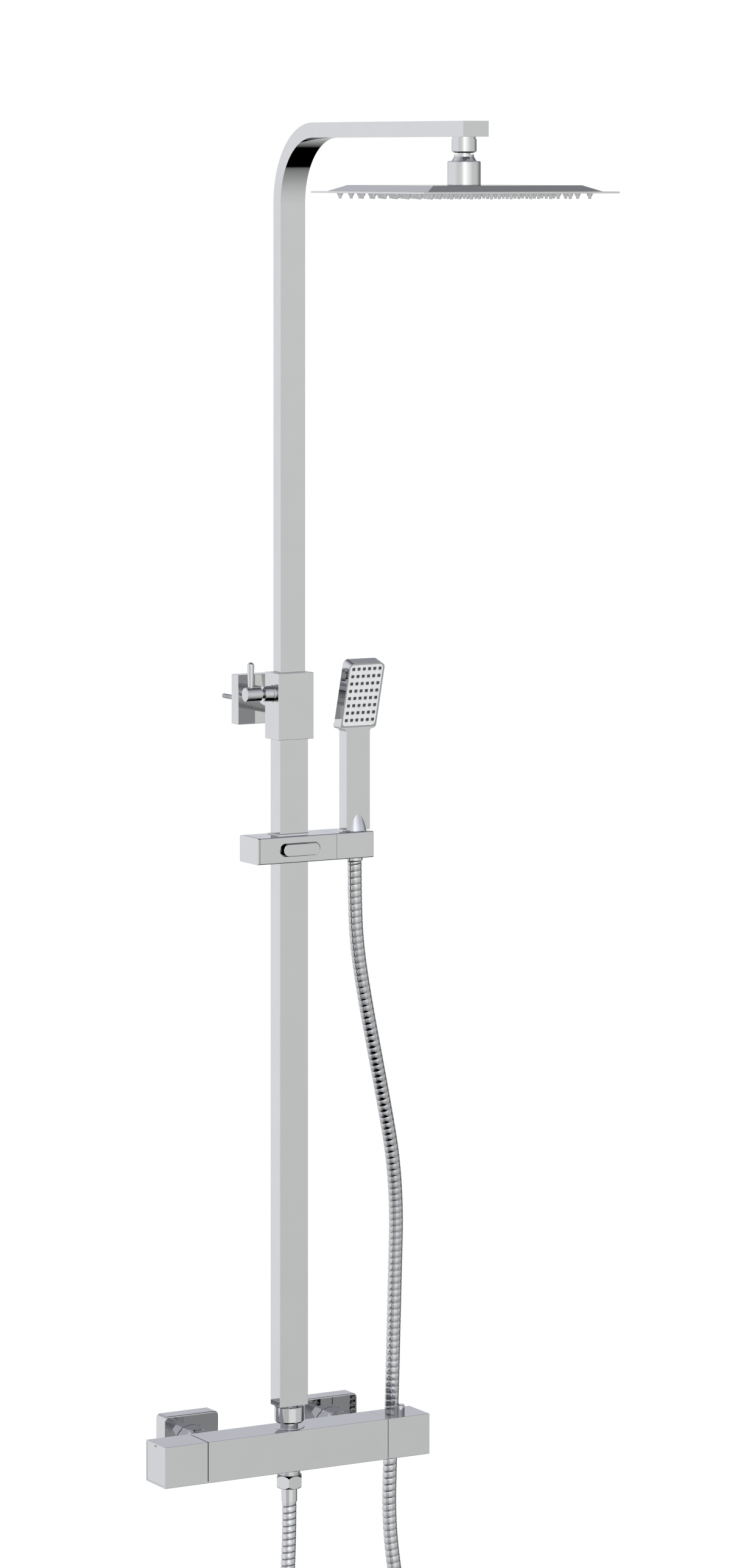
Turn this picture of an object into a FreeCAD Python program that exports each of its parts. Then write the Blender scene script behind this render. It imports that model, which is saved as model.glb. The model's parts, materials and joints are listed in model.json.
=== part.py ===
"""Exposed rainfall shower column: bar mixer, telescopic riser, square head and hand shower.

Frame: +Z up, +X right along the mixer bar, the wall is the plane Y = 0 and the column stands out
of it towards -Y. The origin is the midpoint between the two wall inlets. Millimetres.
"""
import FreeCAD, Part
import math
import os
import re
from FreeCAD import Placement, Rotation, Vector

DIMENSIONS = [
    # mixer bar and its knobs
    ("axis_out", 71.0, "wall to the axis of the bar and column"),
    ("bar_size", 38.0, "square section of the bar and knobs"),
    ("body_half", 95.6, "half length of the valve body"),
    ("knob_start", 96.3, "inner end of each knob"),
    ("knob_length", 44.9, "length of each knob"),
    ("edge_round", 0.4, "softened edge of the polished pieces"),
    ("bore_radius", 14.0, "cartridge bore"),
    ("spindle_radius", 5.0, "cartridge spindle"),
    # wall inlets
    ("inlet_pitch", 150.0, "distance between the inlets"),
    ("inlet_thread", 10.45, "radius of the G1/2 wall thread"),
    ("thread_reach", 18.0, "length of thread in the wall"),
    ("shroud_size", 57.0, "square inlet cover"),
    ("shroud_depth", 17.0, "depth of the inlet cover"),
    ("shroud_corner", 4.0, "corner radius of the inlet cover"),
    ("nut_flats", 34.0, "union nut across flats"),
    # riser
    ("lower_width", 30.1, "lower pipe along X"),
    ("lower_depth", 18.4, "lower pipe along Y"),
    ("upper_width", 26.2, "upper pipe along X"),
    ("upper_depth", 14.1, "upper pipe along Y"),
    ("lower_wall", 1.5, "wall of the lower pipe"),
    ("upper_wall", 1.2, "wall of the upper pipe"),
    ("lower_bottom", 40.0, "bottom end of the lower pipe"),
    ("lower_top", 684.0, "top end of the lower pipe"),
    ("upper_bottom", 600.0, "bottom end of the upper pipe"),
    ("bend_radius", 67.9, "centreline radius of the top bend"),
    ("arm_top", 1241.9, "top face of the overhead arm"),
    ("arm_end", 413.7, "wall to the end of the arm"),
    # collar, wall arm and clamp
    ("collar_width", 37.5, "collar block along X"),
    ("collar_depth", 26.5, "collar block along Y"),
    ("collar_bottom", 664.6, "bottom of the collar block"),
    ("collar_height", 62.3, "height of the collar block"),
    ("rose_size", 46.9, "square wall rose"),
    ("rose_depth", 13.4, "depth of the wall rose"),
    ("rose_level", 696.8, "height of the wall arm's axis"),
    ("arm_radius", 11.9, "round wall arm"),
    ("lever_out", 75.5, "wall to the clamp lever's axis"),
    ("lever_level", 708.0, "height of the clamp lever's axis"),
    # overhead shower
    ("head_out", 393.1, "wall to the centre of the head"),
    ("head_size", 200.0, "square head plate"),
    ("plate_top", 1179.5, "top of the head plate"),
    ("plate_thick", 1.7, "thickness of the head plate"),
    ("cover_base", 178.0, "foot of the head's raised cover"),
    ("cover_flat", 152.0, "flat top of the head's raised cover"),
    ("cover_height", 5.4, "height of the raised cover"),
    ("nozzle_pitch", 20.2, "pitch of the head's nozzles"),
    ("nozzle_root", 2.7, "radius at a nozzle's root"),
    ("nozzle_tip", 1.2, "radius at a nozzle's tip"),
    ("nozzle_height", 5.0, "height of a nozzle"),
    ("ball_level", 1197.0, "centre of the swivel ball"),
    ("ball_radius", 8.5, "swivel ball"),
    # slider and holder
    ("slider_bottom", 550.4, "underside of the slider"),
    ("slider_height", 24.6, "height of the slider"),
    ("slider_front", 92.0, "wall to the slider's front"),
    ("slider_depth", 36.0, "depth of the slider"),
    ("slider_left", 44.6, "column axis to the slider's left end"),
    ("slider_seam", 39.1, "column axis to the holder's seam"),
    ("slider_right", 79.3, "column axis to the holder's right end"),
    ("cap_thick", 1.5, "slider's end cap"),
    ("cap_groove", 0.9, "groove beside the end cap"),
    ("slider_round", 1.2, "rounded long edges of the slider"),
    ("button_width", 38.3, "release button along X"),
    ("button_height", 11.0, "release button along Z"),
    ("button_proud", 4.2, "release button in front of the slider"),
    ("button_middle", 0.0, "column axis to the button's centre"),
    # hand shower
    ("hand_middle", 65.8, "column axis to the hand shower's axis"),
    ("hand_out", 79.0, "wall to the hand shower's axis"),
    ("grip_width", 25.2, "grip along X"),
    ("grip_depth", 14.0, "grip along Y"),
    ("grip_bottom", 576.4, "lower end of the grip"),
    ("face_width", 38.2, "spray head along X"),
    ("face_length", 64.2, "spray head along its face"),
    ("face_depth", 12.8, "spray head's thickness"),
    ("face_tilt", 16.2, "lean of the spray face in degrees"),
    ("face_foot", 673.0, "height where the spray head starts"),
    ("face_corner", 5.0, "upper corners of the spray head"),
    ("face_shoulder", 3.5, "lower corners of the spray head"),
    ("hand_pitch_x", 5.65, "hand nozzle pitch along X"),
    ("hand_pitch_z", 7.33, "hand nozzle pitch along the face"),
    ("hand_nozzle", 2.6, "side of a square hand nozzle"),
    # hose
    ("hose_radius", 6.7, "outer radius of the hose"),
    ("outlet_end", 50.5, "axis of the bar down to the hose's lower end"),
    ("hose_top", 547.0, "height where the hose leaves the hand shower"),
]

doc = FreeCAD.newDocument("shower_column")
sheet = doc.addObject("Spreadsheet::Sheet", "dims")
for row, (alias, value, note) in enumerate(DIMENSIONS, start=1):
    sheet.set(f"A{row}", note)
    sheet.set(f"B{row}", str(value))
    sheet.setAlias(f"B{row}", alias)
doc.recompute()

VALUE = {alias: value for alias, value, _ in DIMENSIONS}
TURN = {
    "+X": Rotation(Vector(0, 1, 0), 90),
    "-X": Rotation(Vector(0, 1, 0), -90),
    "+Y": Rotation(Vector(1, 0, 0), -90),
    "-Y": Rotation(Vector(1, 0, 0), 90),
    "+Z": Rotation(),
    "-Z": Rotation(Vector(1, 0, 0), 180),
}
SUB_PARTS = []


# ---- helpers -------------------------------------------------------------------------------

def formula(text):
    """An expression whose words that name a driving dimension point at the sheet."""
    return re.sub(r"[a-z_]+", lambda word: "dims." + word.group() if word.group() in VALUE
                  else word.group(), str(text))


def bind(thing, **cells):
    for name, text in cells.items():
        thing.setExpression(name, formula(text))
    return thing


def place(thing, corner, turn="+Z"):
    thing.Placement = Placement(Vector(), TURN[turn])
    for name, text in zip("xyz", corner):
        thing.setExpression(f"Placement.Base.{name}", formula(text))
    return thing


def box(size, middle):
    """A box from its size and its middle."""
    thing = doc.addObject("Part::Box", "box")
    bind(thing, Length=size[0], Width=size[1], Height=size[2])
    return place(thing, [f"{m} - ({s}) / 2" for m, s in zip(middle, size)])


def rod(radius, length, start, turn="+Z"):
    thing = doc.addObject("Part::Cylinder", "rod")
    bind(thing, Radius=radius, Height=length)
    return place(thing, start, turn)


def taper(radius, radius_end, length, start, turn="+Z"):
    thing = doc.addObject("Part::Cone", "taper")
    bind(thing, Radius1=radius, Radius2=radius_end, Height=length)
    return place(thing, start, turn)


def hexagon(flats, length, start, turn="+Z"):
    thing = doc.addObject("Part::Prism", "hexagon")
    thing.Polygon = 6
    bind(thing, Circumradius=f"({flats}) / sqrt(3)", Height=length)
    return place(thing, start, turn)


def fuse(*things):
    joined = doc.addObject("Part::MultiFuse", "fuse")
    joined.Shapes = list(things)
    joined.Refine = True
    return joined


def cut(base, *tools):
    result = doc.addObject("Part::Cut", "cut")
    result.Base = base
    result.Tool = tools[0] if len(tools) == 1 else fuse(*tools)
    return result


def common(*things):
    result = doc.addObject("Part::MultiCommon", "common")
    result.Shapes = list(things)
    return result


def group(*things):
    result = doc.addObject("Part::Compound", "group")
    result.Links = list(things)
    return result


def tube(radius, inner, length, start, turn="+Z"):
    return cut(rod(radius, length, start, turn), rod(inner, length, start, turn))


def rounded(base, alias, pick):
    """A fillet of a sheet's radius on the edges for which pick(edge) holds."""
    doc.recompute()
    result = doc.addObject("Part::Fillet", "rounded")
    result.Base = base
    size = VALUE[alias]
    result.Edges = [(number, size, size) for number, edge in enumerate(base.Shape.Edges, start=1)
                    if pick(edge)]
    return result


def along(axis):
    """Picks straight edges that run along one axis."""
    def pick(edge):
        if not isinstance(edge.Curve, Part.Line):
            return False
        start, end = edge.Vertexes[0].Point, edge.Vertexes[-1].Point
        return abs(abs((end - start).normalize()[axis]) - 1) < 1e-6
    return pick


def sub_part(label, thing):
    thing.Label = label
    SUB_PARTS.append(thing)
    return thing


def body_sketch(body, role, points_or_rings, offset="0"):
    """A closed sketch of straight lines on one of a body's origin planes."""
    plane = [item for item in body.Origin.OriginFeatures if item.Role == role][0]
    sketch = body.newObject("Sketcher::SketchObject", "sketch")
    sketch.AttachmentSupport = (plane, [""])
    sketch.MapMode = "FlatFace"
    sketch.setExpression("AttachmentOffset.Base.z", formula(offset))
    for ring in points_or_rings:
        corners = [Vector(u, v, 0) for u, v in ring]
        for first, last in zip(corners, corners[1:] + corners[:1]):
            sketch.addGeometry(Part.LineSegment(first, last), False)
    return sketch


def turned(label, profile, origin):
    """A PartDesign revolution of (radius, height) corners about a vertical axis at origin."""
    body = doc.addObject("PartDesign::Body", label)
    sketch = body_sketch(body, "XZ_Plane", [profile])
    spin = body.newObject("PartDesign::Revolution", "spin")
    spin.Profile = sketch
    spin.ReferenceAxis = (sketch, ["V_Axis"])
    spin.Angle = 360
    body.Tip = spin
    return place(body, origin)


def coil_spring(radius, wire, turns, length, start, turn):
    """A round-wire compression spring between two seats."""
    pitch = (length - wire) / turns
    helix = Part.makeHelix(pitch, length - wire, radius)
    lead = Vector(0, 2 * math.pi * radius, pitch)
    section = Part.Wire([Part.makeCircle(wire / 2, Vector(radius, 0, 0), lead)])
    spring = doc.addObject("Part::Feature", "spring")
    spring.Shape = Part.Wire(helix.Edges).makePipeShell([section], True, True)
    lift = TURN[turn].multVec(Vector(0, 0, wire / 2))
    spring.Placement = Placement(Vector(*start) + lift, TURN[turn])
    return spring


# ---- mixer bar -----------------------------------------------------------------------------

AXIS = "-axis_out"
BAR_BACK = "-axis_out + bar_size / 2"
SIDES = {"left": -1, "right": 1}


def out(side):
    """The direction away from the middle of the bar on one side."""
    return "+X" if side > 0 else "-X"


def valve_body():
    block = box(("2 * body_half", "bar_size", "bar_size"), ("0", AXIS, "0"))
    shell = rounded(block, "edge_round", along(0))
    tools = [rod("6", "2 * body_half", ("-body_half", AXIS, "0"), "+X"),
             rod("8.2", "12", ("0", AXIS, "8")),
             rod("9.5", "12", ("0", AXIS, "-8"), "-Z"),
             rod("5.5", "30", ("0", AXIS, "-15"))]
    bosses = []
    for side in SIDES.values():
        middle = f"{side} * inlet_pitch / 2"
        bosses.append(rod("13.5", "18", (middle, BAR_BACK + " - 2", "0"), "+Y"))
        tools.append(rod("bore_radius", "60", (f"{side} * body_half", AXIS, "0"), out(-side)))
        tools.append(rod("8", "28", (middle, BAR_BACK + " + 17", "0"), "-Y"))
    sub_part("valve_body", cut(fuse(shell, *bosses), *tools))


def cartridge(label, side, wax_room):
    """Cartridge sleeve with its spindle bore, disc chamber and inlet groove."""
    sleeve = rod("bore_radius", "54.4", (f"{side} * 35.6", AXIS, "0"), out(side))
    tools = [rod("spindle_radius + 0.05", "32", (f"{side} * 59.5", AXIS, "0"), out(side)),
             rod("10", "6", (f"{side} * 54", AXIS, "0"), out(side)),
             tube("bore_radius + 1", "11", "14", (f"{side} * 68", AXIS, "0"), out(side))]
    if wax_room:
        tools.append(rod("7", "15", (f"{side} * 37", AXIS, "0"), out(side)))
    sub_part(label, cut(sleeve, *tools))


def spindle(label, side):
    shaft = rod("spindle_radius", "68", (f"{side} * 56", AXIS, "0"), out(side))
    disc = rod("9.95", "4", (f"{side} * 55", AXIS, "0"), out(side))
    hole = rod("2", "12", (f"{side} * 124", AXIS, "0"), out(-side))
    sub_part(label, cut(fuse(shaft, disc), hole))


def knob(label, side, button_hole):
    """Square knob: bearing recess at the seam, hub on the spindle, recess for the end cap."""
    middle = f"{side} * (knob_start + knob_length / 2)"
    block = rounded(box(("knob_length", "bar_size", "bar_size"), (middle, AXIS, "0")),
                    "edge_round", lambda edge: True)
    tools = [rod("15", "15.7", (f"{side} * knob_start", AXIS, "0"), out(side)),
             rod("spindle_radius", "14", (f"{side} * 111", AXIS, "0"), out(side)),
             rod("2", "6", (f"{side} * 123", AXIS, "0"), out(side)),
             box(("16", "34.8", "34.8"), (f"{side} * 135", AXIS, "0"))]
    if button_hole:
        tools.append(rod("4.7", "12", ("119.4", AXIS, "9")))
    sub_part(label, cut(block, *tools))


def knob_cap(label, side):
    """Push-in end plate with a rim behind it and a small index notch at its upper edge."""
    plate = box(("1.6", "34.6", "34.6"), (f"{side} * 140.2", AXIS, "0"))
    rim = cut(box(("4", "34.6", "34.6"), (f"{side} * 137.6", AXIS, "0")),
              box(("4.2", "31.6", "31.6"), (f"{side} * 137.6", AXIS, "0")))
    notch = box(("3", "4.2", "1.4"), (f"{side} * 140.2", AXIS, "17"))
    sub_part(label, cut(fuse(plate, rim), notch))


def knob_screw(label, side):
    shank = rod("2", "14.8", (f"{side} * 112.3", AXIS, "0"), out(side))
    head = cut(rod("3.8", "3", (f"{side} * 127", AXIS, "0"), out(side)),
               hexagon("2.5", "1.6", (f"{side} * 128.5", AXIS, "0"), out(side)))
    sub_part(label, fuse(shank, head))


def safety_button():
    """Temperature override: a round button in the top of the right knob, on its spring."""
    stem = rod("4.6", "11.6", ("119.4", AXIS, "14.2"))
    crown = taper("4.6", "4.1", "0.5", ("119.4", AXIS, "25.8"))
    sub_part("safety_button", fuse(stem, crown))
    sub_part("safety_spring", coil_spring(3.4, 0.8, 3, 5.1, (119.4, -VALUE["axis_out"], 9.05), "+Z"))


def mixer():
    valve_body()
    retainers = []
    for side in SIDES.values():
        retainers.append(tube("bore_radius", "spindle_radius + 1", "5.2",
                              (f"{side} * 90.2", AXIS, "0"), out(side)))
    sub_part("cartridge_retainers", group(*retainers))
    for name, side, wax_room in (("flow", -1, False), ("temperature", 1, True)):
        cartridge(f"{name}_cartridge", side, wax_room)
        spindle(f"{name}_spindle", side)
        knob(f"{name}_knob", side, button_hole=side > 0)
        knob_cap(f"{name}_knob_cap", side)
        knob_screw(f"{name}_knob_screw", side)
    sub_part("wax_element", rod("6.95", "11", ("39", AXIS, "0"), "+X"))
    safety_button()


# ---- wall inlets ---------------------------------------------------------------------------

def inlet_shroud(middle):
    block = box(("shroud_size", "shroud_depth", "shroud_size"), (middle, "-shroud_depth / 2", "0"))
    body = rounded(block, "shroud_corner", along(1))
    rim = rounded(body, "slider_round", lambda edge: edge.BoundBox.YMax < -VALUE["shroud_depth"] + 0.1)
    hollow = box(("shroud_size - 3", "shroud_depth - 1.6", "shroud_size - 3"),
                 (middle, "-(shroud_depth - 1.6) / 2", "0"))
    soft = rounded(hollow, "slider_round", along(1))
    return cut(rim, soft, rod("13.2", "10", (middle, "-shroud_depth - 4", "0"), "+Y"))


def inlet_union(middle):
    thread = fuse(rod("inlet_thread", "thread_reach", (middle, "0", "0"), "+Y"),
                  rod("9.8", "2.5", (middle, "-2.2", "0"), "+Y"))
    body = rod("13", "33", (middle, "-2", "0"), "-Y")
    bore = rod("7", "thread_reach + 36", (middle, "-35", "0"), "+Y")
    return cut(fuse(thread, body), bore)


def union_nut(middle):
    start = (middle, "-17.6", "0")
    flats = common(hexagon("nut_flats", "15.4", start, "-Y"),
                   fuse(rod("19.6", "12.4", start, "-Y"),
                        taper("19.6", "16.6", "3", (middle, "-30", "0"), "-Y")))
    collar = rod("18.4", "1.8", start, "-Y")
    return cut(fuse(flats, collar), rod("13", "20", (middle, "-15", "0"), "-Y"))


def inlets():
    pieces = {"inlet_shrouds": inlet_shroud, "inlet_unions": inlet_union, "inlet_nuts": union_nut}
    middles = [f"{side} * inlet_pitch / 2" for side in SIDES.values()]
    for label, make in pieces.items():
        sub_part(label, group(*[make(middle) for middle in middles]))
    sub_part("inlet_filters", group(*[tube("13", "6.5", "1", (middle, "-35", "0"), "-Y")
                                      for middle in middles]))
    sub_part("check_valves", group(*[tube("7.9", "4.5", "12", (middle, "-38", "0"), "-Y")
                                     for middle in middles]))


# ---- riser pipes ---------------------------------------------------------------------------

def riser_foot():
    """Round nut and the flanged adaptor that carry the lower pipe."""
    crown = fuse(taper("12.4", "13.9", "1.6", ("0", AXIS, "23.8")),
                 rod("13.9", "13", ("0", AXIS, "25.4")),
                 taper("13.9", "13.3", "0.6", ("0", AXIS, "38.4")))
    sub_part("riser_nut", cut(crown, rod("8.2", "20", ("0", AXIS, "22"))))
    plug = box(("lower_width - 2 * lower_wall - 0.04", "lower_depth - 2 * lower_wall - 0.04", "14"),
               ("0", AXIS, "lower_bottom + 7"))
    spigot = fuse(rod("8.16", "34", ("0", AXIS, "8")),
                  taper("14.4", "14", "0.6", ("0", AXIS, "bar_size / 2 + 0.02")))
    sub_part("riser_adaptor", cut(fuse(plug, spigot), rod("5", "50", ("0", AXIS, "6"))))
    sub_part("hose_washer", tube("9", "6", "1.2", ("0", AXIS, "-bar_size / 2 - 16"), "-Z"))


def pipes():
    length = "(lower_top - lower_bottom)"
    middle = ("0", AXIS, "(lower_top + lower_bottom) / 2")
    sub_part("lower_pipe", cut(
        rounded(box(("lower_width", "lower_depth", length), middle), "edge_round", along(2)),
        box(("lower_width - 2 * lower_wall", "lower_depth - 2 * lower_wall", length), middle)))
    sub_part("upper_pipe", upper_pipe())
    block = box(("lower_width - 2 * lower_wall - 0.2", "lower_depth - 2 * lower_wall - 0.2", "16"),
                ("0", AXIS, "upper_bottom - 8"))
    grooves = [seal_ring(level, 0.0) for level in (588.5, 595.0)]
    sub_part("pipe_foot", cut(cut(block, rod("5", "20", ("0", AXIS, "upper_bottom - 18"))), *grooves))
    sub_part("foot_seals", group(*[seal_ring(level, 0.03) for level in (588.5, 595.0)]))


def seal_ring(level, shrink):
    """A flat ring round the telescopic foot, its outer face kept off the pipe by shrink."""
    size = ("lower_width - 2 * lower_wall", "lower_depth - 2 * lower_wall")
    ring = [f"{side} - {0.04 + 2 * shrink}" for side in size]
    core = [f"{side} - 2.6" for side in size]
    middle = ("0", AXIS, str(level))
    return cut(box((*ring, "1.8"), middle), box((*core, "1.8"), middle))


def upper_pipe():
    """Rectangular tube: a straight riser, a quarter bend and the level overhead arm."""
    body = doc.addObject("PartDesign::Body", "upper_tube")
    rings = []
    for inset in (0.0, VALUE["upper_wall"]):
        half_x = VALUE["upper_width"] / 2 - inset
        half_y = VALUE["upper_depth"] / 2 - inset
        rings.append([(-half_x, -half_y), (half_x, -half_y), (half_x, half_y), (-half_x, half_y)])
    profile = body_sketch(body, "XY_Plane", rings)
    plane = [item for item in body.Origin.OriginFeatures if item.Role == "YZ_Plane"][0]
    route = body.newObject("Sketcher::SketchObject", "route")
    route.AttachmentSupport = (plane, [""])
    route.MapMode = "FlatFace"
    bend = VALUE["bend_radius"]
    rise = VALUE["arm_top"] - VALUE["upper_depth"] / 2 - bend - VALUE["upper_bottom"]
    reach = VALUE["arm_end"] - VALUE["axis_out"]
    route.addGeometry(Part.LineSegment(Vector(0, 0, 0), Vector(0, rise, 0)), False)
    circle = Part.Circle(Vector(-bend, rise, 0), Vector(0, 0, 1), bend)
    route.addGeometry(Part.ArcOfCircle(circle, 0, math.pi / 2), False)
    route.addGeometry(Part.LineSegment(Vector(-bend, rise + bend, 0),
                                       Vector(-reach, rise + bend, 0)), False)
    pipe = body.newObject("PartDesign::AdditivePipe", "pipe")
    pipe.Profile = profile
    pipe.Spine = route
    body.Tip = pipe
    place(body, ("0", AXIS, "upper_bottom"))
    end_plate = box(("upper_width", "upper_wall", "upper_depth"),
                    ("0", "-arm_end + upper_wall / 2", "arm_top - upper_depth / 2"))
    hole = rod("7", "6", ("0", "-head_out", "arm_top - upper_depth - 2"))
    return cut(fuse(body, end_plate), hole)


# ---- wall bracket and height clamp ----------------------------------------------------------

def wall_bracket():
    middle = ("0", "-rose_depth / 2", "rose_level")
    block = rounded(box(("rose_size", "rose_depth", "rose_size"), middle), "edge_round",
                    lambda edge: True)
    hollow = box(("rose_size - 3.2", "rose_depth - 1.6", "rose_size - 3.2"),
                 ("0", "-(rose_depth - 1.6) / 2", "rose_level"))
    sub_part("wall_rose", cut(block, hollow, rod("arm_radius", "20", ("0", "0", "rose_level"), "-Y"),
                              rod("2", "4", ("0", "-9", "rose_level - rose_size / 2 - 1"))))
    holes = [rod("2.2", "8", (f"{side * 15.5}", "1", "rose_level"), "-Y") for side in SIDES.values()]
    disc = rod("19", "6", ("0", "0", "rose_level"), "-Y")
    sub_part("wall_base", cut(disc, *holes))
    arm = rod("arm_radius", "axis_out - collar_depth / 2 - 6", ("0", "-6", "rose_level"), "-Y")
    sub_part("wall_arm", cut(arm, rod("2", "6.9", ("0", "-9", "rose_level - arm_radius - 1"))))
    sub_part("grub_screw", rod("2", "16.9", ("0", "-9", "rose_level - rose_size / 2 + 0.5")))
    screws = []
    for side in SIDES.values():
        head = taper("3.4", "2.6", "2", (f"{side * 15.5}", "-8", "rose_level"), "+Y")
        neck = rod("2", "6.4", (f"{side * 15.5}", "-6.2", "rose_level"), "+Y")
        thread = rod("2.2", "29.8", (f"{side * 15.5}", "0", "rose_level"), "+Y")
        screws.append(fuse(head, neck, thread))
    sub_part("wall_screws", group(*screws))


def collar():
    """Block that carries both pipes, with its guide bush and the clamp's bore."""
    middle = ("0", AXIS, "collar_bottom + collar_height / 2")
    block = rounded(box(("collar_width", "collar_depth", "collar_height"), middle), "edge_round",
                    lambda edge: True)
    pocket = box(("lower_width", "lower_depth", "lower_top - collar_bottom + 2"),
                 ("0", AXIS, "(lower_top + collar_bottom) / 2 - 1"))
    way = box(("upper_width + 0.6", "upper_depth + 0.6", "collar_height + 10"), middle)
    seat = box(("upper_width + 5", "upper_depth + 5", "6"),
               ("0", AXIS, "collar_bottom + collar_height - 2.7"))
    bore = rod("3.6", "12", ("-collar_width / 2 - 2", "-lever_out", "lever_level"), "+X")
    sub_part("collar_block", cut(block, pocket, way, seat, bore))
    top = ("0", AXIS, "collar_bottom + collar_height - 2.8")
    sub_part("collar_bush", cut(box(("upper_width + 5", "upper_depth + 5", "5.8"), top),
                                box(("upper_width + 0.1", "upper_depth + 0.1", "6"), top)))


def height_clamp():
    """Lever that turns a hub in its bezel and moves a shoe against the upper pipe."""
    def on_axis(station):
        return (f"-{station}", "-lever_out", "lever_level")
    sleeve = fuse(taper("7", "7.4", "8.5", on_axis("30.9"), "+X"),
                  rod("8.1", "1.6", on_axis("22.4"), "+X"),
                  rod("7.15", "2.05", on_axis("20.8"), "+X"))
    sub_part("clamp_bezel", cut(sleeve, rod("3.55", "16", on_axis("32"), "+X")))
    grip = fuse(rod("6.7", "14.9", on_axis("34.2"), "-X"),
                taper("6.7", "6.2", "0.5", on_axis("49.1"), "-X"),
                rod("4.2", "3.1", on_axis("34.2"), "+X"),
                rod("3.5", "17.4", on_axis("34.2"), "+X"))
    sub_part("lever_hub", cut(grip, taper("2.47", "2.67", "5", ("-43.5", "-lever_out", "lever_level + 2.5"))))
    stem = taper("2.45", "3.3", "24.5", ("-43.5", "-lever_out", "lever_level + 2.5"))
    ball = doc.addObject("Part::Sphere", "ball")
    place(bind(ball, Radius="3.3"), ("-43.5", "-lever_out", "lever_level + 26.8"))
    neck = common(ball, rod("4", "4", ("-43.5", "-lever_out", "lever_level + 26.9")))
    sub_part("lever_pin", fuse(stem, neck))
    sub_part("clamp_shoe", rod("2.4", "2.6", on_axis("15.9"), "+X"))


# ---- overhead shower -----------------------------------------------------------------------

HEAD_BALL = ("0", "-head_out", "ball_level")


def swivel():
    """Ball stem fixed in the arm, its seal, the loose seat under the ball and the head's cup."""
    ball = VALUE["ball_radius"]
    arm = VALUE["arm_top"] - VALUE["upper_depth"] - VALUE["ball_level"]
    ball_top = math.sqrt(ball ** 2 - 5.6 ** 2)
    nut = [(4, 6), (5.6, 6), (5.6, 16.4), (8.5, 16.4), (11.2, 17.9), (11.2, arm - 2),
           (10.4, arm - 2), (10.4, arm), (7, arm), (7, arm + 5), (4, arm + 5)]
    sub_part("swivel_stem", fuse(turned("stem_nut", nut, HEAD_BALL), swivel_ball()))
    sub_part("stem_seal", tube("7.2", "5.65", "1.2", ("0", "-head_out", f"ball_level + {ball_top + 0.5}")))
    ring = tube("9.6", "6", "4", ("0", "-head_out", "ball_level - 8.5"))
    sub_part("ball_seat", cut(ring, ball_space("ball_radius + 0.05")))
    foot = VALUE["plate_top"] + VALUE["cover_height"] - VALUE["ball_level"]
    cup = [(9, foot), (14.85, foot), (14.85, 8.2), (14.5, 8.9), (13.6, 9.3), (11.2, 9.3), (8.75, 13.2),
           (8.75, 15.2), (7.9, 15.2), (7.9, 12.5), (8.7, 10), (8.7, 5.6), (6, 5.6), (6, 1.5),
           (11.4, 1.5), (11.4, foot + 1.5), (9, foot + 1.5)]
    sub_part("swivel_cup", cut(turned("cup_turned", cup, HEAD_BALL), ball_space("ball_radius + 0.05")))


def ball_space(radius):
    ball = doc.addObject("Part::Sphere", "ball")
    return place(bind(ball, Radius=radius), ("0", "-head_out", "ball_level"))


def swivel_ball():
    return cut(ball_space("ball_radius"), rod("4", "30", ("0", "-head_out", "ball_level - 15")))


def frustum(size, flat, height, middle, level):
    """A square, flat-topped pyramid standing on its larger face."""
    block = doc.addObject("Part::Wedge", "frustum")
    bind(block, Xmin=f"-{size} / 2", Xmax=f"{size} / 2", Zmin=f"-{size} / 2", Zmax=f"{size} / 2",
         Ymin="0", Ymax=height, X2min=f"-{flat} / 2", X2max=f"{flat} / 2", Z2min=f"-{flat} / 2",
         Z2max=f"{flat} / 2")
    block.Placement = Placement(Vector(), Rotation(Vector(1, 0, 0), 90))
    for name, text in zip("xyz", ("0", middle, level)):
        block.setExpression(f"Placement.Base.{name}", formula(text))
    return block


def head():
    cover = frustum("cover_base", "cover_flat", "cover_height", "-head_out", "plate_top")
    chamber = frustum("(cover_base - 5)", "(cover_flat - 5)", "(cover_height - 1.4)", "-head_out",
                      "plate_top")
    port = rod("9", "10", ("0", "-head_out", "plate_top"))
    sub_part("head_cover", cut(cover, chamber, port))
    plate = rounded(box(("head_size", "head_size", "plate_thick"),
                        ("0", "-head_out", "plate_top - plate_thick / 2")),
                    "edge_round", along(2))
    places = [(column, row) for column in range(-4, 5) for row in range(-4, 5)]
    holes, nozzles = [], []
    for column, row in places:
        start = (f"{column} * nozzle_pitch", f"-head_out + {row} * nozzle_pitch",
                 "plate_top - plate_thick")
        holes.append(rod("1.6", "plate_thick", start))
        core = rod("1.6", "plate_thick", start)
        root = rod("nozzle_root", "0.9", start, "-Z")
        cone = taper("nozzle_root", "nozzle_tip", "nozzle_height - 2.1",
                     (*start[:2], "plate_top - plate_thick - 0.9"), "-Z")
        tip = rod("nozzle_tip", "1.2", (*start[:2], "plate_top - plate_thick - nozzle_height + 1.2"), "-Z")
        nozzles.append(fuse(core, root, cone, tip))
    sub_part("head_plate", cut(plate, group(*holes)))
    sub_part("head_nozzles", group(*nozzles))


# ---- slider and holder ---------------------------------------------------------------------

SLIDER_MID_Y = "-slider_front + slider_depth / 2"
SLIDER_MID_Z = "slider_bottom + slider_height / 2"


def pill(width, height, depth, front):
    """A round-ended block whose front face stands at -front."""
    left = f"-button_middle - ({width} - {height}) / 2"
    right = f"-button_middle + ({width} - {height}) / 2"
    ends = [rod(f"({height}) / 2", depth, (middle, f"-({front})", SLIDER_MID_Z), "+Y")
            for middle in (left, right)]
    core = box((f"{width} - {height}", depth, height),
               ("-button_middle", f"-({front}) + ({depth}) / 2", SLIDER_MID_Z))
    return fuse(core, *ends)


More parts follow.
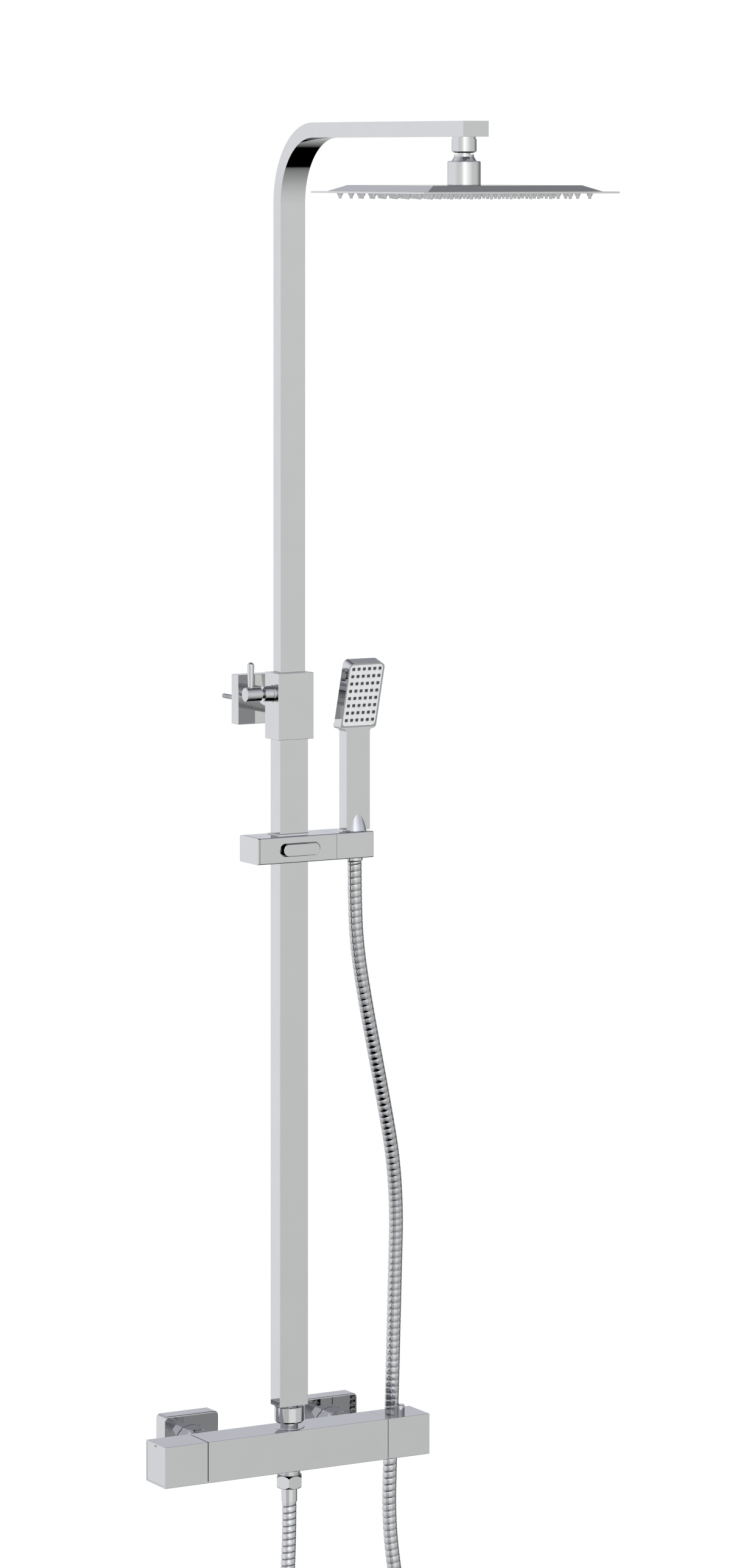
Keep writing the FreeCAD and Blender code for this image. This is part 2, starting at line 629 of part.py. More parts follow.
def slider():
    start, end = "(-slider_left + cap_thick + cap_groove)", "slider_seam"
    block = rounded(box((f"{end} - {start}", "slider_depth", "slider_height"),
                        (f"({end} + {start}) / 2", SLIDER_MID_Y, SLIDER_MID_Z)),
                    "slider_round", along(0))
    waist = box(("cap_groove + 1", "slider_depth - 2.4", "slider_height - 2.4"),
                (f"{start} - cap_groove / 2 + 0.5", SLIDER_MID_Y, SLIDER_MID_Z))
    tools = [box(("lower_width + 4.4", "lower_depth + 4.4", "40"), ("0", AXIS, SLIDER_MID_Z)),
             pill("button_width + 1.6", "button_height + 1.6", "8", "slider_front + 0.6"),
             rod("4.05", "12", ("slider_seam", SLIDER_MID_Y, SLIDER_MID_Z), "-X")]
    sub_part("slider_body", cut(fuse(block, waist), *tools))
    cap = rounded(box(("cap_thick", "slider_depth", "slider_height"),
                      ("-slider_left + cap_thick / 2", SLIDER_MID_Y, SLIDER_MID_Z)),
                  "slider_round", along(0))
    sub_part("slider_end_cap", cap)
    height = "slider_height + 1.2"
    sub_part("slider_bush", cut(
        box(("lower_width + 4.4", "lower_depth + 4.4", height), ("0", AXIS, SLIDER_MID_Z)),
        box(("lower_width + 0.12", "lower_depth + 0.12", "40"), ("0", AXIS, SLIDER_MID_Z))))


def release_button():
    """Pill-shaped button with its spring seated in a blind hole behind it."""
    front = "slider_front + button_proud"
    block = pill("button_width", "button_height", "8.4", front)
    soft = rounded(block, "edge_round", lambda edge: edge.BoundBox.YMax < -96.1)
    pocket = rod("4.2", "6.6", ("-button_middle", f"-({front}) + 8.4", SLIDER_MID_Z), "-Y")
    sub_part("release_button", cut(soft, pocket))
    middle_z = VALUE["slider_bottom"] + VALUE["slider_height"] / 2
    sub_part("release_spring", coil_spring(3.4, 0.8, 5, 9.6,
                                           (-VALUE["button_middle"], -84.65, middle_z), "-Y"))


def holder():
    """Socket block that turns on its pivot against the slider; a slot lets the hose in behind."""
    block = rounded(box(("slider_right - slider_seam - 0.3", "slider_depth", "slider_height"),
                        ("(slider_right + slider_seam + 0.3) / 2", SLIDER_MID_Y, SLIDER_MID_Z)),
                    "slider_round", along(0))
    soft = rounded(block, "edge_round", lambda edge: edge.BoundBox.XMin > VALUE["slider_right"] - 0.1)
    seat = taper("7.85", "8.35", "slider_height + 0.4",
                 ("hand_middle", "-hand_out", "slider_bottom - 0.2"))
    slot = box(("14", "24", "slider_height + 2"), ("hand_middle", "-hand_out + 19", SLIDER_MID_Z))
    pin_hole = rod("4", "10", ("slider_seam", SLIDER_MID_Y, SLIDER_MID_Z), "+X")
    sub_part("handset_holder", cut(soft, seat, slot, pin_hole))
    sub_part("holder_pivot", rod("4", "19.9", ("slider_seam - 10", SLIDER_MID_Y, SLIDER_MID_Z), "+X"))


# ---- hand shower ---------------------------------------------------------------------------

def face_point(along_face, depth):
    """(y, z) of a point on the leaning spray head: up its face from the foot, and into it."""
    lean = math.radians(VALUE["face_tilt"])
    y = -VALUE["hand_out"] - VALUE["grip_depth"] / 2
    z = VALUE["face_foot"]
    return (y - along_face * math.sin(lean) + depth * math.cos(lean),
            z + along_face * math.cos(lean) + depth * math.sin(lean))


def prism_from(label, role, corners, width, offset):
    """A PartDesign pad of a closed outline, centred on its plane and then shifted."""
    body = doc.addObject("PartDesign::Body", label)
    sketch = body_sketch(body, role, [corners], offset)
    pad = body.newObject("PartDesign::Pad", "pad")
    pad.Profile = sketch
    pad.Midplane = True
    pad.setExpression("Length", formula(width))
    body.Tip = pad
    return body


def hand_shell():
    """Grip and spray head from a side outline and a front outline."""
    length, depth = VALUE["face_length"], VALUE["face_depth"]
    back = VALUE["grip_depth"] / 2 - VALUE["hand_out"]
    front = back - VALUE["grip_depth"]
    low = VALUE["grip_bottom"]
    side = [(back, low), (back, face_point(-1.5, depth)[1]), face_point(1.5, depth),
            face_point(length, depth), face_point(length, 0), face_point(0, 0), (front, low)]
    outline = prism_from("side_outline", "YZ_Plane", side, "face_width", "hand_middle")
    foot, top = VALUE["face_foot"] - 1.5, VALUE["face_foot"] + 90
    wide = rounded(box(("face_width", "60", str(top - foot)),
                       ("hand_middle", "-hand_out - 8", str((top + foot) / 2))),
                   "face_shoulder", lambda edge: along(1)(edge) and edge.CenterOfMass.z < foot + 0.1)
    grip = box(("grip_width", "60", str(foot - low + 10)),
               ("hand_middle", "-hand_out - 8", str((foot + low + 10) / 2)))
    flare = (VALUE["face_width"] - VALUE["grip_width"]) / 2 - VALUE["face_shoulder"]
    shoulders = []
    for side_sign in (-1, 1):
        middle = f"hand_middle + {side_sign} * (grip_width / 2 + {flare / 2})"
        corner = box((str(flare), "60", str(flare)), (middle, "-hand_out - 8", str(foot - flare / 2)))
        inner = f"hand_middle + {side_sign} * (grip_width / 2 + {flare})"
        shoulders.append(cut(corner, rod(str(flare), "64", (inner, "-hand_out + 24", str(foot - flare)),
                                         "-Y")))
    shell = common(outline, fuse(wide, grip, *shoulders))
    return rounded(shell, "face_corner", spray_corner)


def spray_corner(edge):
    """Picks the two upper corner edges that run through the spray head's thickness."""
    top = face_point(VALUE["face_length"], 0)[1]
    centre = edge.CenterOfMass
    far = abs(abs(centre.x - VALUE["hand_middle"]) - VALUE["face_width"] / 2) < 0.1
    return far and centre.z > top and abs(edge.Length - VALUE["face_depth"]) < 0.2


def tilted_box(size, up_face, depth, across=0.0):
    """A box square to the spray face, its middle given on the face and into it."""
    y, z = face_point(up_face, depth)
    thing = doc.addObject("Part::Box", "tilted")
    bind(thing, Length=size[0], Width=size[1], Height=size[2])
    turn = Rotation(Vector(1, 0, 0), VALUE["face_tilt"])
    half = turn.multVec(Vector(*[float(side) / 2 for side in size]))
    thing.Placement = Placement(Vector(VALUE["hand_middle"] + across, y, z) - half, turn)
    return thing


def hose_cone_head():
    """The part of the hose's cone above the holder, which widens out of the grip's front and back."""
    return fuse(taper("11.2", "10", "6", ("hand_middle", "-hand_out", "grip_bottom - 0.9")),
                taper("10", "7", "9.8", ("hand_middle", "-hand_out", "grip_bottom + 5.1")),
                taper("7", "5.2", "5", ("hand_middle", "-hand_out", "grip_bottom + 14.9")))


def handset():
    middle = VALUE["face_length"] / 2
    recess = rounded(tilted_box((35.4, 8.0, 61.4), middle, 3.98), "face_shoulder",
                     lambda edge: abs(edge.Length - 8.0) < 0.001)
    bore = rod("4.5", "95", ("hand_middle", "-hand_out", "grip_bottom - 2"))
    sub_part("handset_body", cut(hand_shell(), recess, bore, hose_cone_head()))
    plate = rounded(tilted_box((35.2, 1.6, 61.2), middle, 1.0), "face_shoulder",
                    lambda edge: abs(edge.Length - 1.6) < 0.001)
    size = VALUE["hand_nozzle"]
    holes, nozzles = [], []
    for column in range(6):
        for row in range(8):
            across = (column - 2.5) * VALUE["hand_pitch_x"]
            up = middle + 1.0 + (row - 3.5) * VALUE["hand_pitch_z"]
            holes.append(tilted_box((size, 2.0, size), up, 1.0, across))
            nozzles.append(tilted_box((size, 2.6, size), up, 0.6, across))
    sub_part("handset_faceplate", cut(plate, group(*holes)))
    sub_part("handset_nozzles", group(*nozzles))
    cone = fuse(hose_cone_head(),
                taper("7.7", "8.2", "slider_height + 0.6", ("hand_middle", "-hand_out", "slider_bottom")),
                rod("7.7", "slider_bottom - hose_top - 0.3", ("hand_middle", "-hand_out", "hose_top + 0.3")))
    sub_part("hose_cone", cut(cone, rod("4.5", "70", ("hand_middle", "-hand_out", "hose_top"))))


# ---- hose ----------------------------------------------------------------------------------

HOSE_ROUTE = [
    (65.8, -79.0, 547.0), (65.9, -79.0, 505.0), (69.2, -78.2, 462.0), (80.5, -73.5, 412.0),
    (95.5, -65.0, 362.0), (111.5, -54.5, 312.0), (127.0, -45.0, 258.0), (134.6, -38.5, 205.0),
    (135.0, -35.2, 150.0), (134.3, -33.6, 92.0), (132.8, -33.0, 30.0), (130.6, -33.2, -32.0),
    (128.0, -35.0, -92.0), (133.0, -39.5, -150.0), (145.0, -43.0, -214.0), (153.5, -46.0, -282.0),
    (155.0, -49.5, -346.0), (144.0, -53.0, -396.0), (118.0, -56.5, -437.0), (79.0, -60.0, -459.0),
    (34.0, -64.0, -456.0), (-3.0, -67.5, -431.0), (-22.5, -70.0, -390.0), (-26.0, -71.5, -338.0),
    (-21.0, -71.8, -272.0), (-11.0, -71.5, -204.0), (-3.0, -71.0, -138.0), (0.0, -71.0, -88.0),
    (0.0, -71.0, -50.5),
]


def hose_path(points):
    """Straight runs joined by tangent arcs as large as the runs allow; prints the radii."""
    corners = [Vector(*point) for point in points]
    edges, radii = [], []
    here = corners[0]
    for before, corner, after in zip(corners, corners[1:], corners[2:]):
        inward, outward = corner - before, after - corner
        reach = 0.45 * min(inward.Length, outward.Length)
        half_turn = inward.getAngle(outward) / 2
        radii.append(reach / math.tan(half_turn))
        inward.normalize()
        outward.normalize()
        start, end = corner - inward * reach, corner + outward * reach
        chord = (start + end) * 0.5
        sagitta = radii[-1] * (1 - math.cos(half_turn))
        top = chord + (corner - chord).normalize() * sagitta
        edges.append(Part.LineSegment(here, start).toShape())
        edges.append(Part.Arc(start, top, end).toShape())
        here = end
    edges.append(Part.LineSegment(here, corners[-1]).toShape())
    print("hose radii", [round(radius) for radius in radii])
    return Part.Wire(edges)


def hose():
    path = hose_path(HOSE_ROUTE)
    radius = VALUE["hose_radius"]
    start = Vector(*HOSE_ROUTE[0])
    aim = Vector(*HOSE_ROUTE[1]) - start
    section = Part.Wire([Part.makeCircle(radius, start, aim)])
    thing = doc.addObject("Part::Feature", "hose_tube")
    thing.Shape = path.makePipeShell([section], True, False, 2)
    expected = math.pi * radius ** 2 * path.Length
    print("hose length", round(path.Length, 1), "volume ratio", round(thing.Shape.Volume / expected, 5))
    sub_part("hose", thing)


def hose_outlet():
    """Threaded nipple under the valve, with the hose's hexagon nut and crimped ferrule."""
    start = ("0", AXIS, "-8")
    nipple = fuse(rod("9.5", "17.4", start, "-Z"), rod("7.9", "27", start, "-Z"))
    threads = [rod("10.3", "1.1", ("0", AXIS, f"-{level}"), "-Z") for level in (19.6, 21.7, 23.8)]
    sub_part("hose_nipple", cut(fuse(nipple, *threads), rod("5", "40", ("0", AXIS, "0"), "-Z")))
    top = ("0", AXIS, "-25.4")
    nut = common(hexagon("23", "12.2", top, "-Z"),
                 fuse(taper("11.3", "13.3", "2.4", top, "-Z"),
                      rod("13.3", "7.4", ("0", AXIS, "-27.8"), "-Z"),
                      taper("13.3", "11.3", "2.4", ("0", AXIS, "-35.2"), "-Z")))
    sub_part("hose_nut", cut(nut, rod("9.3", "10.85", ("0", AXIS, "-25.4"), "-Z"),
                             rod("6", "20", ("0", AXIS, "-25.4"), "-Z")))
    sub_part("hose_ferrule", cut(rod("7.4", "outlet_end - 37.6", ("0", AXIS, "-37.6"), "-Z"),
                                 rod("4.5", "20", ("0", AXIS, "-35"), "-Z")))


# ---- build and export ----------------------------------------------------------------------

for build in (mixer, inlets, riser_foot, pipes, wall_bracket, collar, height_clamp, swivel, head,
              slider, release_button, holder, handset, hose, hose_outlet):
    build()
doc.recompute()

faults = [f"{thing.Label}: {thing.State}" for thing in doc.Objects
          if {"Invalid", "Error"} & set(thing.State)]
for thing in SUB_PARTS:
    if thing.Shape.isNull() or not thing.Shape.isValid() or not thing.Shape.Solids:
        faults.append(f"{thing.Label}: bad shape")
if faults:
    raise RuntimeError("\n".join(faults))

os.makedirs("parts", exist_ok=True)
for thing in SUB_PARTS:
    thing.Shape.exportStep(f"parts/{thing.Label}.step")
print(len(SUB_PARTS), "parts")
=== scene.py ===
"""Looks for the rainfall shower column: chrome, plastics, ribbed hose, studio and camera.

Metres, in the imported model's frame: +Z up, +X right along the mixer bar, the wall at Y = 0.
"""

import bisect
import json
import math

import bmesh
import bpy
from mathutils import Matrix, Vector


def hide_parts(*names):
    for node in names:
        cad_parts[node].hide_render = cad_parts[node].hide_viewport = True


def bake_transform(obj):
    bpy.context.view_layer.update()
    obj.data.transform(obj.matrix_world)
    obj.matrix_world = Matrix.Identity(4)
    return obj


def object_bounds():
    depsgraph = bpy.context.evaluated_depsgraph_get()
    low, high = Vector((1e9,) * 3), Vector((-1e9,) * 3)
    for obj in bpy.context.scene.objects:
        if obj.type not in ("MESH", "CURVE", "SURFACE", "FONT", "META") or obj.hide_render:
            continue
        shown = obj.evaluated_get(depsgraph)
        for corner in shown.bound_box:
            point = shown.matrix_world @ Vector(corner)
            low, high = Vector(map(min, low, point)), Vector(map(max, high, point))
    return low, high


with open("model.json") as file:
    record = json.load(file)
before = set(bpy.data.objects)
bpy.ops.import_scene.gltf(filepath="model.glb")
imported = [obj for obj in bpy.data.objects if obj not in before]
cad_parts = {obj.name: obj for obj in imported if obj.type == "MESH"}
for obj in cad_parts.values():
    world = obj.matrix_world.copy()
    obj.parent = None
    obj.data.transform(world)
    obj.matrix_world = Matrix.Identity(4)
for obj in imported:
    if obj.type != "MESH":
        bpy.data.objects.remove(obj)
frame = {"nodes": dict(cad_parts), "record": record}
cad_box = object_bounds()
scene = bpy.context.scene

# ---- camera --------------------------------------------------------------------------------

SENSOR = 36.0
LENS = 126.4752
SHIFT = -0.39934
CAMERA_AT = (-2.488, -4.601, 1.2091)
CAMERA_TURN = -29.59
FARTHEST = 50.0


def add_camera():
    """A level long lens, a little left of the column's front, shifted down to frame all of it."""
    data = bpy.data.cameras.new("camera")
    data.sensor_fit = "VERTICAL"
    data.sensor_height = SENSOR
    data.sensor_width = SENSOR
    data.lens = LENS
    data.shift_y = SHIFT
    data.clip_end = FARTHEST
    camera = bpy.data.objects.new("camera", data)
    scene.collection.objects.link(camera)
    camera.location = CAMERA_AT
    camera.rotation_euler = (math.radians(90), 0, math.radians(CAMERA_TURN))
    scene.camera = camera


# ---- shader nodes --------------------------------------------------------------------------

def fed(tree, socket, value):
    """Sets a socket to a constant, or links it to another node's output."""
    if isinstance(value, (int, float, tuple)):
        socket.default_value = value
    else:
        tree.links.new(value, socket)


def maths(tree, kind, *values):
    node = tree.nodes.new("ShaderNodeMath")
    node.operation = kind
    for socket, value in zip(node.inputs, values):
        fed(tree, socket, value)
    return node.outputs["Value"]


def share(tree, value, start, end):
    """How far a value is from start to end, from 0 to 1."""
    gone = maths(tree, "MULTIPLY", maths(tree, "SUBTRACT", value, start), 1 / (end - start))
    return maths(tree, "MAXIMUM", maths(tree, "MINIMUM", gone, 1), 0)


def mixed(tree, kind, factor, first, second):
    """Two colours mixed; the node has sockets of the same name for every type of value."""
    node = tree.nodes.new("ShaderNodeMix")
    node.data_type = "RGBA"
    node.blend_type = kind
    factor_socket, colour_a, colour_b, colour_result = 0, 6, 7, 2
    fed(tree, node.inputs[factor_socket], factor)
    fed(tree, node.inputs[colour_a], first)
    fed(tree, node.inputs[colour_b], second)
    return node.outputs[colour_result]


def grey(level):
    return (level, level, level, 1)


def level_ramp(tree, stops, low, high, source):
    """A colour ramp of grey levels over a range of degrees."""
    spread = tree.nodes.new("ShaderNodeMapRange")
    spread.inputs["From Min"].default_value = low
    spread.inputs["From Max"].default_value = high
    tree.links.new(source, spread.inputs["Value"])
    node = tree.nodes.new("ShaderNodeValToRGB")
    tree.links.new(spread.outputs["Result"], node.inputs["Fac"])
    marks = node.color_ramp.elements
    while len(marks) < len(stops):
        marks.new(0.5)
    for mark, (angle, level) in zip(marks, stops):
        mark.position = (angle - low) / (high - low)
        mark.color = grey(level)
    return node.outputs["Color"]


# ---- studio --------------------------------------------------------------------------------

# Brightness of the studio by turn, in degrees from the camera's own side: level with the
# horizon, and a little below it.
AROUND = [
    (-180, 0.66), (-137, 0.66), (-67, 0.66), (-42, 0.53), (-20, 0.60), (-9, 0.80), (-3, 0.97),
    (6, 1.0), (18, 0.88), (31, 0.76), (60, 0.52), (92, 0.49), (106, 0.39), (128, 0.18),
    (150, 0.14), (156, 0.20), (163, 0.60), (180, 0.66),
]
AROUND_LOW = [
    (-180, 0.66), (-165, 0.70), (-52, 0.71), (-44, 0.46), (-8, 0.45), (4, 0.71), (46, 0.72),
    (58, 0.52), (106, 0.50), (124, 0.14), (150, 0.12), (156, 0.20), (163, 0.62), (180, 0.66),
]
# Share of that brightness by elevation: on the camera's side, and beyond the shower.
BESIDE = [
    (-90, 0.0), (-54, 0.0), (-52, 0.25), (-49, 0.375), (-42, 0.50), (-34, 0.63), (-26, 0.77),
    (-17, 0.88), (-9, 0.96), (0, 1.0), (13, 1.02), (21, 1.01), (30, 0.95), (38, 0.86),
    (46, 0.75), (54, 0.62), (59, 0.48), (64, 0.32), (90, 0.30),
]
BEYOND = [
    (-90, 0.0), (-52, 0.0), (-49, 0.11), (-42, 0.30), (-34, 0.44), (-26, 0.60), (-17, 0.75),
    (-9, 0.90), (0, 1.0), (7, 0.90), (13, 0.74), (21, 0.69), (39, 0.28), (43, 0.175),
    (90, 0.17),
]
# Where one set of levels gives way to the other, in degrees.
LOW_BAND = (-2, -10)
BEYOND_BAND = (122, 156)
# Reflections of reflections: from which depth of ray, and how much of the studio reaches them.
INNER_DEPTH = 2.5
INNER = 0.38
STRENGTH = 1.08
# The light is lilac above the horizon and slightly so far to the left, and greenish elsewhere.
LILAC = (0.94, 0.95, 1.03, 1.0)
GREENISH = (0.99, 1.0, 0.992, 1.0)
LILAC_ABOVE = (1, 6)
LILAC_LEFT = (-45, -65)
LILAC_LEFT_MOST = 0.4


def directions(tree):
    """Turn from the camera's own side and elevation of a ray, in degrees."""
    where = tree.nodes.new("ShaderNodeTexCoord")
    split = tree.nodes.new("ShaderNodeSeparateXYZ")
    tree.links.new(where.outputs["Generated"], split.inputs["Vector"])
    x, y, z = split.outputs
    turn = maths(tree, "MULTIPLY", maths(tree, "ARCTAN2", y, x), 180 / math.pi)
    turn = maths(tree, "WRAP", maths(tree, "SUBTRACT", turn, CAMERA_TURN - 90), 180, -180)
    lift = maths(tree, "MULTIPLY", maths(tree, "ARCSINE", z), 180 / math.pi)
    return turn, lift


def studio_light(tree):
    """The studio's colour in a ray's direction."""
    turn, lift = directions(tree)
    around = mixed(tree, "MIX", share(tree, lift, *LOW_BAND),
                   level_ramp(tree, AROUND, -180, 180, turn),
                   level_ramp(tree, AROUND_LOW, -180, 180, turn))
    height = mixed(tree, "MIX", share(tree, maths(tree, "ABSOLUTE", turn), *BEYOND_BAND),
                   level_ramp(tree, BESIDE, -90, 90, lift),
                   level_ramp(tree, BEYOND, -90, 90, lift))
    leftward = maths(tree, "MINIMUM", share(tree, turn, *LILAC_LEFT), LILAC_LEFT_MOST)
    lilac = maths(tree, "MAXIMUM", share(tree, lift, *LILAC_ABOVE), leftward)
    tint = mixed(tree, "MIX", lilac, GREENISH, LILAC)
    return mixed(tree, "MULTIPLY", 1.0, mixed(tree, "MULTIPLY", 1.0, around, height), tint)


def add_world():
    """A white studio: soft bright panels all round, dark low down, plain white behind."""
    world = bpy.data.worlds.new("studio")
    scene.world = world
    world.use_nodes = True
    tree = world.node_tree
    tree.nodes.clear()
    path = tree.nodes.new("ShaderNodeLightPath")
    deeper = maths(tree, "GREATER_THAN", path.outputs["Ray Depth"], INNER_DEPTH)
    strength = maths(tree, "MULTIPLY_ADD", deeper, STRENGTH * (INNER - 1), STRENGTH)
    studio = tree.nodes.new("ShaderNodeBackground")
    tree.links.new(studio_light(tree), studio.inputs["Color"])
    tree.links.new(strength, studio.inputs["Strength"])
    white = tree.nodes.new("ShaderNodeBackground")
    white.inputs["Color"].default_value = grey(1)
    choose = tree.nodes.new("ShaderNodeMixShader")
    tree.links.new(path.outputs["Is Camera Ray"], choose.inputs["Fac"])
    tree.links.new(studio.outputs["Background"], choose.inputs[1])
    tree.links.new(white.outputs["Background"], choose.inputs[2])
    output = tree.nodes.new("ShaderNodeOutputWorld")
    tree.links.new(choose.outputs["Shader"], output.inputs["Surface"])


LAMP_SIZE = 1.6


def add_light(name, location, aim, power):
    """A square soft box that lights matt surfaces and doesn't show in the chrome."""
    data = bpy.data.lights.new(name, "AREA")
    data.shape = "SQUARE"
    data.size = LAMP_SIZE
    data.energy = power
    light = bpy.data.objects.new(name, data)
    scene.collection.objects.link(light)
    light.location = location
    light.rotation_euler = (Vector(aim) - Vector(location)).to_track_quat("-Z", "Y").to_euler()
    light.visible_glossy = False


FLOOR_RADIUS = 1.1
FLOOR_BELOW = 0.12
FLOOR_FORWARD = 0.2


def add_floor():
    """A plain pale round floor below the hose's loop."""
    mesh = bpy.data.meshes.new("floor")
    made = bmesh.new()
    bmesh.ops.create_circle(made, cap_ends=True, segments=96, radius=FLOOR_RADIUS)
    made.to_mesh(mesh)
    made.free()
    floor = bpy.data.objects.new("floor", mesh)
    scene.collection.objects.link(floor)
    floor.location = (0.0, -FLOOR_FORWARD, cad_box[0].z - FLOOR_BELOW)
    floor.visible_glossy = False
    paint = plain_material("floor_paint", (0.86, 0.86, 0.86), 0.8)
    mesh.materials.append(paint)


# ---- materials -----------------------------------------------------------------------------

RELIEF_DEPTH = 0.0004
# Polish varies on a finer scale than colour.
POLISH_FINER = 2.3


def plain_material(name, colour, roughness, metallic=0.0):
    material = bpy.data.materials.new(name)
    material.use_nodes = True
    shader = material.node_tree.nodes["Principled BSDF"]
    shader.inputs["Base Color"].default_value = (*colour, 1)
    shader.inputs["Roughness"].default_value = roughness
    shader.inputs["Metallic"].default_value = metallic
    return material


def noise(tree, scale, detail=3.0, rough=0.5):
    where = tree.nodes.new("ShaderNodeTexCoord")
    texture = tree.nodes.new("ShaderNodeTexNoise")
    texture.inputs["Scale"].default_value = scale
    texture.inputs["Detail"].default_value = detail
    texture.inputs["Roughness"].default_value = rough
    tree.links.new(where.outputs["Object"], texture.inputs["Vector"])
    return texture.outputs["Fac"]


def between(tree, source, first_colour, last_colour, low=0.3, high=0.7):
    """A colour that goes from the first to the last as the source goes from low to high."""
    node = tree.nodes.new("ShaderNodeValToRGB")
    tree.links.new(source, node.inputs["Fac"])
    first, last = node.color_ramp.elements
    first.position, last.position = low, high
    first.color, last.color = first_colour, last_colour
    return node.outputs["Color"]


def surface(name, dark, light, rough, scale, metallic=0.0, bump=0.0, bump_scale=900):
    """A material whose colour, roughness and fine relief all come from noise."""
    material = plain_material(name, light, rough[0], metallic)
    tree = material.node_tree
    shader = tree.nodes["Principled BSDF"]
    colour = between(tree, noise(tree, scale), (*dark, 1), (*light, 1))
    tree.links.new(colour, shader.inputs["Base Color"])
    polish = between(tree, noise(tree, scale * POLISH_FINER, 5, 0.6), grey(rough[0]), grey(rough[1]))
    tree.links.new(polish, shader.inputs["Roughness"])
    if bump:
        relief = tree.nodes.new("ShaderNodeBump")
        relief.inputs["Strength"].default_value = bump
        relief.inputs["Distance"].default_value = RELIEF_DEPTH
        tree.links.new(noise(tree, bump_scale, 2), relief.inputs["Height"])
        tree.links.new(relief.outputs["Normal"], shader.inputs["Normal"])
    return material


# Slot: darkest and lightest colour, range of roughness, size of the variation, and the rest.
MATERIALS = {
    "chrome": surface("chrome", (0.925, 0.93, 0.935), (0.945, 0.95, 0.955), (0.012, 0.035), 35,
                      metallic=1.0),
    "cast_brass": surface("brass", (0.60, 0.43, 0.18), (0.78, 0.60, 0.30), (0.22, 0.38), 90,
                          metallic=1.0, bump=0.15),
    "steel": surface("steel", (0.50, 0.51, 0.52), (0.66, 0.67, 0.68), (0.22, 0.36), 120,
                     metallic=1.0, bump=0.1),
    "white_plastic": surface("acetal", (0.80, 0.80, 0.79), (0.87, 0.87, 0.86), (0.38, 0.5), 80,
                             bump=0.08, bump_scale=1200),
    "pale_plastic": surface("bush_plastic", (0.88, 0.885, 0.89), (0.93, 0.935, 0.94),
                            (0.4, 0.55), 80, bump=0.08, bump_scale=1200),
    "grey_face": surface("face_grey", (0.58, 0.585, 0.59), (0.62, 0.625, 0.63), (0.3, 0.4), 150,
                         bump=0.05, bump_scale=1500),
    "dark_rubber": surface("black_rubber", (0.012, 0.012, 0.013), (0.03, 0.03, 0.032),
                           (0.55, 0.75), 150, bump=0.2, bump_scale=1500),
    "nozzle_silicone": surface("silicone", (0.46, 0.46, 0.47), (0.54, 0.54, 0.55),
                               (0.3, 0.42), 200, bump=0.15, bump_scale=1800),
    "hand_nozzle_silicone": surface("dark_silicone", (0.03, 0.03, 0.032), (0.06, 0.06, 0.063),
                                    (0.4, 0.55), 200, bump=0.15, bump_scale=1800),
    "hose_metal": surface("hose_chrome", (0.86, 0.865, 0.875), (0.93, 0.935, 0.94),
                          (0.04, 0.09), 140, metallic=1.0),
}


def dress_cad_nodes():
    slots = {row["node"]: row["material_slot"] for row in frame["record"]["subparts"]}
    for name, node in frame["nodes"].items():
        node.data.materials.clear()
        node.data.materials.append(MATERIALS[slots[name]])


# ---- hose ----------------------------------------------------------------------------------

# The points that steer the hose's centre line, in millimetres: from the holder down behind the
# mixer bar, round the loop, and up to the outlet under the valve.
HOSE_ROUTE = [
    (65.8, -79.0, 547.0), (65.9, -79.0, 505.0), (69.2, -78.2, 462.0), (80.5, -73.5, 412.0),
    (95.5, -65.0, 362.0), (111.5, -54.5, 312.0), (127.0, -45.0, 258.0), (134.6, -38.5, 205.0),
    (135.0, -35.2, 150.0), (134.3, -33.6, 92.0), (132.8, -33.0, 30.0), (130.6, -33.2, -32.0),
    (128.0, -35.0, -92.0), (133.0, -39.5, -150.0), (145.0, -43.0, -214.0), (153.5, -46.0, -282.0),
    (155.0, -49.5, -346.0), (144.0, -53.0, -396.0), (118.0, -56.5, -437.0), (79.0, -60.0, -459.0),
    (34.0, -64.0, -456.0), (-3.0, -67.5, -431.0), (-22.5, -70.0, -390.0), (-26.0, -71.5, -338.0),
    (-21.0, -71.8, -272.0), (-11.0, -71.5, -204.0), (-3.0, -71.0, -138.0), (0.0, -71.0, -88.0),
    (0.0, -71.0, -50.5),
]
HOSE_RADIUS = 0.0067
HOSE_SIDES = 28
RIB_PITCH = 0.0062
# One turn of the wound strip: (share of the pitch, share of the radius).
RIB = [
    (0.0, 0.90), (0.02, 0.96), (0.05, 0.995), (0.09, 1.0), (0.82, 1.0), (0.85, 0.985),
    (0.865, 0.96), (0.88, 0.84), (0.905, 0.84), (0.925, 0.92),
]
SAME_POINT = 0.00001


def centre_line(route):
    """Points of the smooth line that a route's points steer."""
    curve = bpy.data.curves.new("centre_line", "CURVE")
    curve.dimensions = "3D"
    curve.resolution_u = 24
    spline = curve.splines.new("NURBS")
    spline.points.add(len(route) - 1)
    for point, place in zip(spline.points, route):
        point.co = (*[value / 1000 for value in place], 1)
    spline.order_u = 3
    spline.use_endpoint_u = True
    holder = bpy.data.objects.new("centre_line", curve)
    scene.collection.objects.link(holder)
    mesh = bpy.data.meshes.new_from_object(holder)
    points = [vertex.co.copy() for vertex in mesh.vertices]
    bpy.data.objects.remove(holder)
    return points


def frames(points):
    """Distance, point and two cross directions all along a line, without twist."""
    distance, across, found = 0.0, Vector((0, 1, 0)), []
    for index, point in enumerate(points):
        before, after = points[max(index - 1, 0)], points[min(index + 1, len(points) - 1)]
        direction = (after - before).normalized()
        across = (across - direction * across.dot(direction)).normalized()
        if index:
            distance += (point - points[index - 1]).length
        found.append((distance, point, across, direction.cross(across)))
    return found


